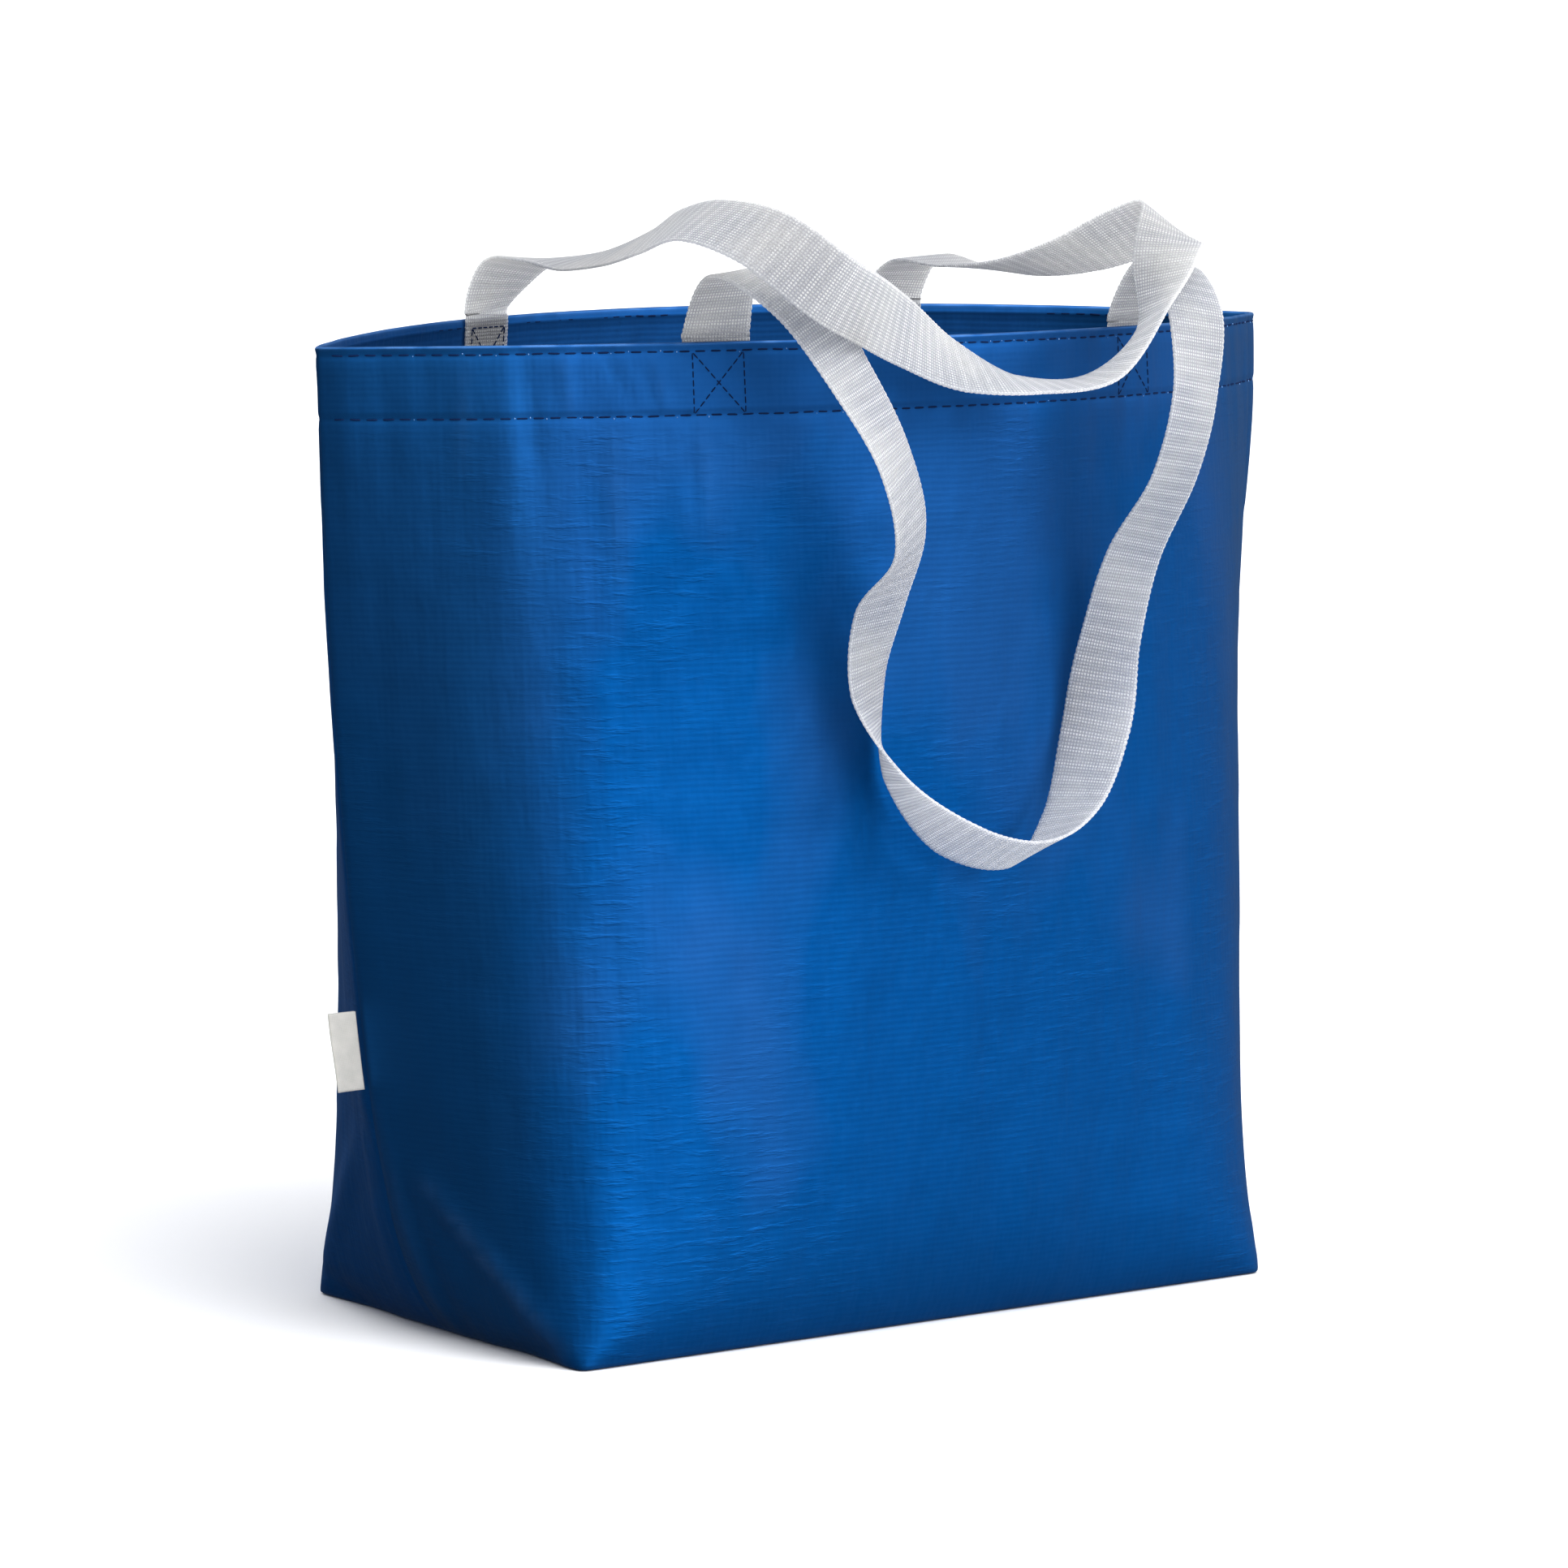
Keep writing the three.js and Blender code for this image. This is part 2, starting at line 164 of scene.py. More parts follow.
bag = {
    "height": 0.400,
    "baseWidth": 0.350,
    "baseDepth": 0.185,
    "mouthSeamAngle": math.radians(44),
    "seamDip": 0.0035,
    "hemDepth": 0.031,
    "hemFace": 0.00195,           # from the outer face to the folded-in hem's face
    "wall": 0.0010,
    "earlyOpening": 0.21,
    "earlyOpeningHeight": 0.043,
    "baseCornerSoftness": 0.002,
    "upperCornerSoftness": 0.032,
    "softeningHeight": 0.030,
    "cornerDrift": 0.017,
}
panelHalf = (bag["baseWidth"] + bag["baseDepth"]) / 2
girth = 4 * panelHalf


def planAngle(fromSeam, height):
    # the angle in plan between the wall and the X axis
    early = 1 - np.exp(-height / bag["earlyOpeningHeight"])
    earlyAtTop = 1 - math.exp(-bag["height"] / bag["earlyOpeningHeight"])
    share = height / bag["height"]
    opening = bag["earlyOpening"] * early + (1 - bag["earlyOpening"] * earlyAtTop) * share
    softness = (bag["baseCornerSoftness"]
                + bag["upperCornerSoftness"] * (1 - np.exp(-height / bag["softeningHeight"])))
    cornerAt = bag["baseDepth"] / 2 - bag["cornerDrift"] * share
    corner = (1 - np.tanh((fromSeam - cornerAt) / softness)) / 2
    cornerLeft = (1 - np.tanh((panelHalf - cornerAt) / softness)) / 2
    mouth = bag["mouthSeamAngle"] * (1 - fromSeam / panelHalf)
    return (1 - opening) * math.pi / 2 * (corner - cornerLeft) + opening * mouth


# the plan of a quarter of the bag at every millimetre of height, walked along the cloth
tableSteps, tableRows = 535, 400
tableHeights = np.linspace(0, bag["height"], tableRows + 1)
tableStep = panelHalf / tableSteps
walkAngles = planAngle((np.arange(tableSteps)[None, :] + 0.5) * tableStep, tableHeights[:, None])
tableX = np.pad(np.cumsum(np.cos(walkAngles), axis=1) * tableStep, ((0, 0), (1, 0)))
tableY = np.pad(np.cumsum(np.sin(walkAngles), axis=1) * tableStep, ((0, 0), (1, 0)))
tableX = tableX[:, -1:] - tableX


def fromTable(table, fromSeam, height):
    column = np.clip(fromSeam / tableStep, 0, tableSteps - 1e-6)
    row = np.clip(height / bag["height"] * tableRows, 0, tableRows - 1e-6)
    c, r = column.astype(int), row.astype(int)
    dc, dr = column - c, row - r
    low = table[r, c] * (1 - dc) + table[r, c + 1] * dc
    high = table[r + 1, c] * (1 - dc) + table[r + 1, c + 1] * dc
    return low * (1 - dr) + high * dr


def skinPoints(along, height, inward=0.0, lift=0.0):
    # along runs round the bag: 0 is the middle of the front, +-panelHalf the right and left seam
    along, height, inward, lift = np.broadcast_arrays(
        np.asarray(along, float), np.asarray(height, float),
        np.asarray(inward, float), np.asarray(lift, float))
    turn = np.mod(along, girth)
    quarter = np.minimum(3, (turn / panelHalf + 1e-9).astype(int))
    within = turn - quarter * panelHalf
    fromSeam = np.clip(np.where(quarter % 2 == 0, panelHalf - within, within), 0, panelHalf)
    angle = planAngle(fromSeam, height)
    atSeam = fromSeam < 1e-5
    inX = np.where(atSeam, 1 / np.sin(angle), np.sin(angle))
    inY = np.where(atSeam, 0, np.cos(angle))
    side = np.where(quarter < 2, 1, -1)
    back = np.where((quarter == 1) | (quarter == 2), 1, -1)
    x = side * (fromTable(tableX, fromSeam, height) - inX * inward)
    depth = fromTable(tableY, fromSeam, height) - inY * inward
    y = back * np.where(atSeam, 0, np.maximum(depth, 0.0001))
    dip = bag["seamDip"] * (1 - fromSeam / panelHalf) ** 2 * height / bag["height"]
    return np.stack([x, y, height - dip + lift], axis=-1)


def seamDistance(along):
    return np.abs(np.mod(along, 2 * panelHalf) - panelHalf)


# folds, puckers and creases

cloth = {
    "swell": (0.0011, 0.15, 0.13),       # height of the form, its size along and up
    "lean": (0.0005, 0.060, 0.16),
    "streak": (0.00052, 0.018, 0.12),
    "crumple": (0.00016, 0.017, 0.014),
    "pucker": (0.00030, 0.0088, 0.060),   # and how far it runs out below the hem
    "seamPucker": 0.00090,
    "seamPuckerReach": (0.030, 0.055),    # sideways and down
    "calmBase": 0.012,                    # near the base and the rim the relief is low
    "calmRim": 0.020,
    "rowDip": 0.00045,
    "rowWidth": 0.0015,
    "seamGroove": 0.0010,
    "seamWidth": 0.0022,
    "upperRow": 0.3965,
    "lowerRow": 0.3715,
    # start along and height, end along and height, width, outward
    "folds": [
        (-0.242, 0.066, -0.184, 0.006, 0.0062, 0.0030),
        (-0.226, 0.000, -0.186, 0.009, 0.0055, -0.0024),
        (-0.2280, 0.052, -0.2060, 0.022, 0.0030, -0.0010),
        (-0.2740, 0.104, -0.2705, 0.090, 0.0018, 0.0008),
        (-0.2790, 0.090, -0.2730, 0.074, 0.0018, -0.0008),
        (-0.2625, 0.095, -0.2550, 0.004, 0.0035, 0.0013),
        (-0.2550, 0.060, -0.2450, 0.002, 0.0050, -0.0010),
        (-0.1205, 0.371, -0.1185, 0.336, 0.0018, -0.0010),
        (-0.1150, 0.370, -0.1140, 0.344, 0.0014, -0.0005),
        (-0.1140, 0.370, -0.1120, 0.322, 0.0040, 0.0006),
        (-0.1960, 0.395, -0.1900, 0.300, 0.0110, 0.0005),
        (-0.1500, 0.366, -0.1480, 0.290, 0.0070, 0.0006),
        (-0.2080, 0.396, -0.2100, 0.350, 0.0050, 0.0007),
        (-0.1860, 0.397, -0.1820, 0.352, 0.0034, -0.0007),
        (-0.1700, 0.397, -0.1670, 0.372, 0.0030, 0.0006),
        (-0.1540, 0.398, -0.1430, 0.374, 0.0026, -0.0005),
        (-0.1360, 0.398, -0.1290, 0.373, 0.0024, 0.0005),
        (0.2550, 0.398, 0.2600, 0.320, 0.0035, 0.0011),
        (0.2460, 0.396, 0.2520, 0.335, 0.0035, -0.0010),
        (0.2360, 0.394, 0.2440, 0.345, 0.0045, 0.0008),
        (0.238, 0.070, 0.180, 0.008, 0.0080, 0.0020),
        (0.226, 0.000, 0.184, 0.009, 0.0060, -0.0016),
        (0.2600, 0.110, 0.2540, 0.010, 0.0040, 0.0012),
        (0.300, 0.064, 0.356, 0.010, 0.0085, 0.0020),
        (0.312, 0.000, 0.352, 0.009, 0.0060, -0.0016),
        (-0.298, 0.072, -0.356, 0.011, 0.0085, 0.0021),
        (-0.310, 0.000, -0.350, 0.009, 0.0060, -0.0018),
        (-0.2750, 0.130, -0.2800, 0.020, 0.0045, 0.0010),
        (0.500, 0.368, 0.506, 0.300, 0.0070, 0.0006),
        (0.640, 0.366, 0.636, 0.310, 0.0060, -0.0006),
    ],
}


def clothNoise(along, height, acrossSize, upSize, seed):
    # a smooth random relief that closes round the bag
    columns = max(4, round(girth / acrossSize))
    rows = int(0.46 / upSize) + 6
    lattice = np.random.RandomState(seed).uniform(-1, 1, (rows, columns))
    a = np.mod(along / girth * columns + 0.37 * seed, columns)
    h = np.clip((height + 0.02) / upSize + 0.29 * (seed % 7), 0, rows - 1.001)
    i, j = np.floor(a).astype(int), np.floor(h).astype(int)
    u, v = a - i, h - j
    u = u ** 3 * (u * (6 * u - 15) + 10)
    v = v ** 3 * (v * (6 * v - 15) + 10)
    i, k = i % columns, (i + 1) % columns
    return ((lattice[j, i] * (1 - u) + lattice[j, k] * u) * (1 - v)
            + (lattice[j + 1, i] * (1 - u) + lattice[j + 1, k] * u) * v)


def nearLine(along, height, start, end, width):
    # 1 on a line drawn on the flat cloth, falling to 0 within about two widths
    a = np.mod(along - start[0] + girth / 2, girth) - girth / 2
    h = height - start[1]
    da, dh = end[0] - start[0], end[1] - start[1]
    share = np.clip((a * da + h * dh) / (da * da + dh * dh), 0, 1)
    distance = np.hypot(a - share * da, h - share * dh)
    taper = 0.35 + 0.65 * np.sin(np.pi * np.clip(share, 0.02, 0.98)) ** 0.6
    return np.exp(-(distance / width) ** 2) * taper


def clothRelief(along, height):
    # how far the wall stands out of its smooth shape
    calmBase = 1 - np.exp(-height / cloth["calmBase"])
    calmRim = 1 - 0.55 * np.exp(-(bag["height"] - height) / cloth["calmRim"])
    out = np.zeros(np.broadcast(along, height).shape)
    for seed, name in enumerate(("swell", "lean", "streak", "crumple")):
        amount, acrossSize, upSize = cloth[name]
        out = out + amount * clothNoise(along, height, acrossSize, upSize, 11 + seed)
    out = out * calmBase * calmRim
    # the stitch rows gather the hem into small upright puckers that run out below it
    amount, acrossSize, reach = cloth["pucker"]
    below = np.clip(cloth["lowerRow"] - height, 0, None)
    level = 0 * height
    ripple = (clothNoise(along, level, acrossSize, 1, 31)
              + 0.6 * clothNoise(along, level, acrossSize * 2.3, 1, 32) * np.exp(-below / 0.03))
    strong = 0.5 + 0.5 * clothNoise(along, level, 0.07, 1, 33)
    out = out + amount * ripple * (0.35 + strong) * np.exp(-below / (reach * 0.45))
    # beside the seams they are closer, deeper and run further down
    sideways, down = cloth["seamPuckerReach"]
    bunched = (clothNoise(along, height, 0.0060, 0.09, 34)
               + 0.5 * clothNoise(along, height, 0.009, 0.05, 35))
    out = out + cloth["seamPucker"] * bunched * (np.exp(-(seamDistance(along) / sideways) ** 2)
                                                 * np.exp(-below / down) * calmRim)
    for row in (cloth["upperRow"], cloth["lowerRow"]):
        out = out - cloth["rowDip"] * np.exp(-((height - row) / cloth["rowWidth"]) ** 2)
    for startAlong, startHeight, endAlong, endHeight, width, rise in cloth["folds"]:
        out = out + rise * nearLine(along, height, (startAlong, startHeight),
                                    (endAlong, endHeight), width)
    groove = np.exp(-(seamDistance(along) / cloth["seamWidth"]) ** 2)
    return out - cloth["seamGroove"] * groove * (1 - np.exp(-height / 0.01))


def clothPoints(along, height, inward=0.0, lift=0.0):
    return skinPoints(along, height, inward - clothRelief(along, height), lift)


# mesh helpers

def newPiece(name, bm, material, smooth=True, body="root"):
    mesh = bpy.data.meshes.new(name)
    bm.to_mesh(mesh)
    bm.free()
    mesh.materials.append(material)
    if smooth:
        mesh.shade_smooth()
    piece = bpy.data.objects.new(name, mesh)
    scene.collection.objects.link(piece)
    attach(piece, body)
    return piece


def clothGrid(columns, rows):
    # a flat grid, its vertices in rows: index = row * columns + column
    bm = bmesh.new()
    made = bmesh.ops.create_grid(bm, x_segments=columns - 1, y_segments=rows - 1, size=1)
    bm.verts.ensure_lookup_table()
    flat = np.array([v.co[:2] for v in made["verts"]])
    column = np.rint((flat[:, 0] + 1) / 2 * (columns - 1)).astype(int)
    row = np.rint((flat[:, 1] + 1) / 2 * (rows - 1)).astype(int)
    return bm, column, row


def layFlatCoordinates(bm, u, v):
    # the cloth's own flat coordinates, kept from before it is bent
    layer = bm.loops.layers.uv.new("flatCloth")
    for face in bm.faces:
        for loop in face.loops:
            loop[layer].uv = (u[loop.vert.index], v[loop.vert.index])


def moveVerts(bm, points):
    for vert, point in zip(bm.verts, points.tolist()):
        vert.co = point


# materials

def emptyMaterial(name):
    material = bpy.data.materials.new(name)
    material.use_nodes = True
    tree = material.node_tree
    return material, tree, tree.nodes["Principled BSDF"]


def addNode(tree, kind, inputs=(), **settings):
    node = tree.nodes.new(kind)
    for key, value in settings.items():
        setattr(node, key, value)
    for key, value in dict(inputs).items():
        if isinstance(value, bpy.types.NodeSocket):
            tree.links.new(value, node.inputs[key])
        else:
            node.inputs[key].default_value = value
    return node


def mathOf(tree, operation, a, b=0.0):
    return addNode(tree, "ShaderNodeMath", {0: a, 1: b}, operation=operation).outputs[0]


def apartFrom(tree, value, middle):
    return mathOf(tree, "ABSOLUTE", mathOf(tree, "SUBTRACT", value, middle))


def flatCoordinates(tree):
    return addNode(tree, "ShaderNodeUVMap", uv_map="flatCloth").outputs[0]


def stretched(tree, vector, scale):
    return addNode(tree, "ShaderNodeMapping", {"Vector": vector, "Scale": scale}).outputs[0]


def noiseOf(tree, vector, scale, detail=2.0, roughness=0.5):
    return addNode(tree, "ShaderNodeTexNoise", {
        "Vector": vector, "Scale": scale, "Detail": detail, "Roughness": roughness}).outputs[0]


def bandsOf(tree, vector, direction, pitch, distortion=0.0):
    return addNode(tree, "ShaderNodeTexWave", {
        "Vector": vector, "Scale": math.pi / 10 / pitch, "Distortion": distortion,
        "Detail": 1.0, "Detail Scale": 0.4},
        bands_direction=direction, wave_type="BANDS").outputs["Fac"]


def ranged(tree, value, low, high, newLow=0.0, newHigh=1.0):
    return addNode(tree, "ShaderNodeMapRange", {
        "Value": value, "From Min": low, "From Max": high,
        "To Min": newLow, "To Max": newHigh}).outputs[0]


def mixedColour(tree, share, first, second):
    return addNode(tree, "ShaderNodeMix", {0: share, 6: first, 7: second},
                   data_type="RGBA").outputs[2]


def raised(tree, height, distance, below=None, strength=1.0):
    inputs = {"Height": height, "Distance": distance, "Strength": strength}
    if below is not None:
        inputs["Normal"] = below
    return addNode(tree, "ShaderNodeBump", inputs).outputs[0]


laminate = {
    "colour": (0.0012, 0.084, 0.275, 1),
    "deepColour": (0.0010, 0.075, 0.250, 1),
    # the yarn's pale grain, and the painted highlight on crisp wrinkles
    "paleGrainAndGlintColour": (0.008, 0.110, 0.335, 1),
    "wornColour": (0.110, 0.250, 0.520, 1),
    # painted shade and grey reflection of the two sides
    "sideShadeColour": (0.0070, 0.078, 0.225, 1),
    # colour of the painted sheen patches on the film
    "paintedSheenColour": (0.0130, 0.092, 0.282, 1),
    "sheenFrom": 0.22,            # patches of painted sheen are common above this height
    "sheenRise": 0.9,
    "tape": 0.0025,               # width of a woven tape
    "ribHeight": 0.000027,
    "tapeHeight": 0.000006,
    "wrinkleHeight": 0.00016,
    "uprightHeight": 0.0006,
    "blotchHeight": 0.00050,
    # repeats in a metre, across and up
    "wrinkleGrain": (55, 300, 1),
    "fineGrain": (260, 120, 1),
    "uprightGrain": (95, 7, 1),
    "blotchGrain": (60, 26, 1),
    "sheenGrain": (9, 5, 1),
    "cornerAt": 0.158,            # where the front turns, from its middle
    "cornerCreases": (0.006, 0.034),
    "hemCalm": (0.366, 0.373),    # few wrinkles above
    "sideShadeFade": (0.060, 0.105),   # from a seam, where the painted shade and grey reflection of the sides ends
    "roughness": (0.48, 0.56),
    "filmGloss": 0.75,
    "specular": 0.04,
}


def makeLaminate():
    material, tree, shader = emptyMaterial("wovenLaminate")
    flat = flatCoordinates(tree)

    def grainOf(name, detail, roughness=0.5):
        return noiseOf(tree, stretched(tree, flat, laminate[name]), 1.0, detail, roughness)

    rib = bandsOf(tree, flat, "Y", laminate["tape"], 1.2)
    tape = bandsOf(tree, flat, "X", laminate["tape"], 0.8)
    # short level wrinkles of the film, in patches and where the front turns its corners
    wrinkle = grainOf("wrinkleGrain", 3.0, 0.62)
    patches = ranged(tree, noiseOf(tree, flat, 8.0, 2.0), 0.44, 0.66, 0.04, 1.0)
    across, upwards = addNode(tree, "ShaderNodeSeparateXYZ", {0: flat}).outputs[:2]
    fromMiddle = mathOf(tree, "ABSOLUTE", across)
    fromCorner = apartFrom(tree, fromMiddle, laminate["cornerAt"])
    patches = mathOf(tree, "MAXIMUM", patches,
                     ranged(tree, fromCorner, *laminate["cornerCreases"], 1.0, 0.0))
    patches = mathOf(tree, "MULTIPLY", patches,
                     ranged(tree, upwards, *laminate["hemCalm"], 1.0, 0.12))
    crisp = mathOf(tree, "MULTIPLY", ranged(tree, wrinkle, 0.50, 0.72), patches)
    normal = raised(tree, rib, laminate["ribHeight"])
    normal = raised(tree, tape, laminate["tapeHeight"], normal)
    normal = raised(tree, crisp, laminate["wrinkleHeight"], normal)
    normal = raised(tree, grainOf("uprightGrain", 2.0), laminate["uprightHeight"], normal, 0.6)
    normal = raised(tree, grainOf("blotchGrain", 3.0, 0.6), laminate["blotchHeight"], normal)
    tree.links.new(normal, shader.inputs["Normal"])
    colour = mixedColour(tree, noiseOf(tree, flat, 14.0, 3.0),
                         laminate["deepColour"], laminate["colour"])
    fine = ranged(tree, grainOf("fineGrain", 2.0), 0.45, 0.85, 0.0, 0.22)
    colour = mixedColour(tree, fine, colour, laminate["paleGrainAndGlintColour"])
    # painted highlight: the crisp wrinkles are painted paler, as if their edges caught the light
    colour = mixedColour(tree, mathOf(tree, "MULTIPLY", crisp, 0.30), colour,
                         laminate["paleGrainAndGlintColour"])
    # painted sheen: broad paler patches of painted sheen on the film, more of them higher up
    climb = mathOf(tree, "SUBTRACT", upwards, laminate["sheenFrom"])
    sheen = mathOf(tree, "ADD", grainOf("sheenGrain", 3.0, 0.45),
                   mathOf(tree, "MULTIPLY", climb, laminate["sheenRise"]))
    colour = mixedColour(tree, ranged(tree, sheen, 0.47, 0.57, 0.0, 0.85), colour,
                         laminate["paintedSheenColour"])
    # painted shade and reflection: both sides are painted darker and greyer, for the light
    # falling off there and the grey sheen they reflect
    fromSeam = apartFrom(tree, fromMiddle, panelHalf)
    colour = mixedColour(tree, ranged(tree, fromSeam, *laminate["sideShadeFade"], 0.8, 0.0), colour,
                         laminate["sideShadeColour"])
    worn = addNode(tree, "ShaderNodeAttribute", attribute_name="foldWear").outputs["Fac"]
    colour = mixedColour(tree, worn, colour, laminate["wornColour"])
    tree.links.new(colour, shader.inputs["Base Color"])
    smudges = noiseOf(tree, flat, 60.0, 3.0)
    tree.links.new(ranged(tree, smudges, 0.3, 0.7, *laminate["roughness"]),
                   shader.inputs["Roughness"])
    shader.inputs["Metallic"].default_value = laminate["filmGloss"]
    shader.inputs["Specular IOR Level"].default_value = laminate["specular"]
    return material


tapeWeave = {
    "colour": (0.470, 0.474, 0.484, 1),
    # painted shade between the knuckles
    "gapShadeColour": (0.270, 0.278, 0.298, 1),
    # painted highlight: warm glints of light on the yarn
    "warmGlintColour": (0.580, 0.565, 0.520, 1),
    # painted highlight on the fuller knuckles and along the selvedge
    "knuckleAndEdgeHighlightColour": (0.790, 0.790, 0.785, 1),
    "rowPitch": 0.00140,
    "columnPitch": 0.00125,
    "fullerEvery": 4.5,           # rows
    "knuckleHeight": 0.00042,
    "rowHeight": 0.00014,
    "selvedge": (0.0122, 0.0134),
    "roughness": 0.62,
    "specular": 0.30,
    "lightReach": 0.014,
}


def makeTapeWeave():
    material, tree, shader = emptyMaterial("webbingWeave")
    flat = flatCoordinates(tree)
    # rows of knuckles across the tape, every few of them fuller
    row = bandsOf(tree, flat, "X", tapeWeave["rowPitch"], 0.12)
    ends = bandsOf(tree, flat, "Y", tapeWeave["columnPitch"], 0.25)
    knuckle = mathOf(tree, "MULTIPLY", row, ranged(tree, ends, 0.2, 0.8, 0.05, 1.0))
    fuller = bandsOf(tree, flat, "X", tapeWeave["rowPitch"] * tapeWeave["fullerEvery"], 1.6)
    full = mathOf(tree, "MULTIPLY", knuckle, ranged(tree, fuller, 0.35, 0.95))
    normal = raised(tree, row, tapeWeave["rowHeight"])
    normal = raised(tree, knuckle, tapeWeave["knuckleHeight"], normal)
    tree.links.new(normal, shader.inputs["Normal"])
    # painted shade: the gaps between the knuckles are painted darker
    colour = mixedColour(tree, ranged(tree, knuckle, 0.05, 0.75), tapeWeave["gapShadeColour"],
                         tapeWeave["colour"])
    # painted highlight: the fuller knuckles are painted brighter, as their tops catch the light
    colour = mixedColour(tree, mathOf(tree, "MULTIPLY", full, 0.8),
                         colour, tapeWeave["knuckleAndEdgeHighlightColour"])
    # painted highlight: warm pale patches stand for warm glints of light on the yarn
    colour = mixedColour(tree, ranged(tree, noiseOf(tree, flat, 22.0, 2.0), 0.45, 0.75, 0, 0.5),
                         colour, tapeWeave["warmGlintColour"])
    # painted highlight: the selvedge is painted paler, as its rounded edges catch the light
    apart = addNode(tree, "ShaderNodeSeparateXYZ", {0: flat}).outputs[1]
    selvedge = ranged(tree, mathOf(tree, "ABSOLUTE", apart), *tapeWeave["selvedge"], 0.0, 0.12)
    colour = mixedColour(tree, selvedge, colour, tapeWeave["knuckleAndEdgeHighlightColour"])
    tree.links.new(colour, shader.inputs["Base Color"])
    shader.inputs["Roughness"].default_value = tapeWeave["roughness"]
    shader.inputs["Specular IOR Level"].default_value = tapeWeave["specular"]
    # the pale yarn lets light through
    shader.inputs["Subsurface Weight"].default_value = 1.0
    shader.inputs["Subsurface Radius"].default_value = (1, 1, 1)
    shader.inputs["Subsurface Scale"].default_value = tapeWeave["lightReach"]
    return material


sewing = {
    "threadColour": (0.0015, 0.0075, 0.034, 1),
    "threadLight": (0.0045, 0.0240, 0.095, 1),
    "twistGrain": 2600.0,
    "markColour": (0.22, 0.36, 0.60, 1),
    "markGrain": 900.0,
    "labelColour": (0.520, 0.510, 0.480, 1),
    "labelShade": (0.400, 0.395, 0.375, 1),
    "labelWarp": 0.0006,
    "labelWeft": 0.0005,
}


def makeThread():
    material, tree, shader = emptyMaterial("sewingThread")
    place = addNode(tree, "ShaderNodeTexCoord").outputs["Object"]
    twist = noiseOf(tree, place, sewing["twistGrain"], 2.0)
    tree.links.new(mixedColour(tree, twist, sewing["threadColour"], sewing["threadLight"]),
                   shader.inputs["Base Color"])
    tree.links.new(raised(tree, twist, 0.0001), shader.inputs["Normal"])
    shader.inputs["Roughness"].default_value = 0.6
    shader.inputs["Specular IOR Level"].default_value = 0.08
    return material


def makeNeedleMark():
    material, tree, shader = emptyMaterial("needleMark")
    place = addNode(tree, "ShaderNodeTexCoord").outputs["Object"]
    patchy = noiseOf(tree, place, sewing["markGrain"], 2.0)
    tree.links.new(mixedColour(tree, patchy, laminate["wornColour"], sewing["markColour"]),
                   shader.inputs["Base Color"])
    shader.inputs["Roughness"].default_value = 0.5
    return material


def makeLabelCloth():
    material, tree, shader = emptyMaterial("labelRibbon")
    flat = flatCoordinates(tree)
    warp = bandsOf(tree, flat, "X", sewing["labelWarp"], 0.2)
    weft = bandsOf(tree, flat, "Y", sewing["labelWeft"], 0.2)
    weave = mathOf(tree, "MULTIPLY", warp, weft)
    tree.links.new(raised(tree, weave, 0.00008), shader.inputs["Normal"])
    shade = mathOf(tree, "ADD", ranged(tree, weave, 0, 1, 0.0, 0.5),
                 ranged(tree, noiseOf(tree, flat, 160.0, 3.0), 0.3, 0.7, 0.0, 0.5))
    tree.links.new(mixedColour(tree, shade, sewing["labelShade"], sewing["labelColour"]),
                   shader.inputs["Base Color"])
    shader.inputs["Roughness"].default_value = 0.75
    shader.inputs["Specular IOR Level"].default_value = 0.2
    return material


laminateCloth = makeLaminate()
webbingCloth = makeTapeWeave()
threadYarn = makeThread()
needleMarkFilm = makeNeedleMark()
labelCloth = makeLabelCloth()
print("materials ready")


# the skin

skin = {
    "columns": 400,
    "seamColumns": (0.0012, 0.0026, 0.0045),   # extra columns beside a side seam
    "wallStep": 0.0029,
    "rowStep": 0.0009,             # beside a row of stitches
    "innerStep": 0.010,
    "innerStepLow": 0.006,         # down by the base
    "wallTop": 0.3988,
    "foldFrom": 0.3990,            # here the rim starts to turn over
    "foldSteps": 6,
    # heights of the rows down the hem's inner face, close beside its stitches
    "hemRows": (0.3990, 0.3978, 0.3971, 0.3965, 0.3959, 0.3950, 0.392, 0.386, 0.380, 0.3745,
                0.3727, 0.3720, 0.3715, 0.3709, 0.3700, 0.3692),
    "innerTop": 0.3675,
    "innerFloor": 0.0009,
    "baseRings": (0.985, 0.8, 0.3),
    "innerRings": (0.97, 0.6, 0.2),
}


def skinColumns():
    # even columns over a panel, with a few close ones by its seams
    even = np.linspace(0, 2 * panelHalf, skin["columns"] // 2 - 6)[1:-1]
    near = np.array(skin["seamColumns"])
    even = even[(even > near[-1] * 1.3) & (even < 2 * panelHalf - near[-1] * 1.3)]
    panel = np.concatenate([[0], near, even, 2 * panelHalf - near[::-1]])
    return np.concatenate([panel - panelHalf, panel + panelHalf, [3 * panelHalf]])


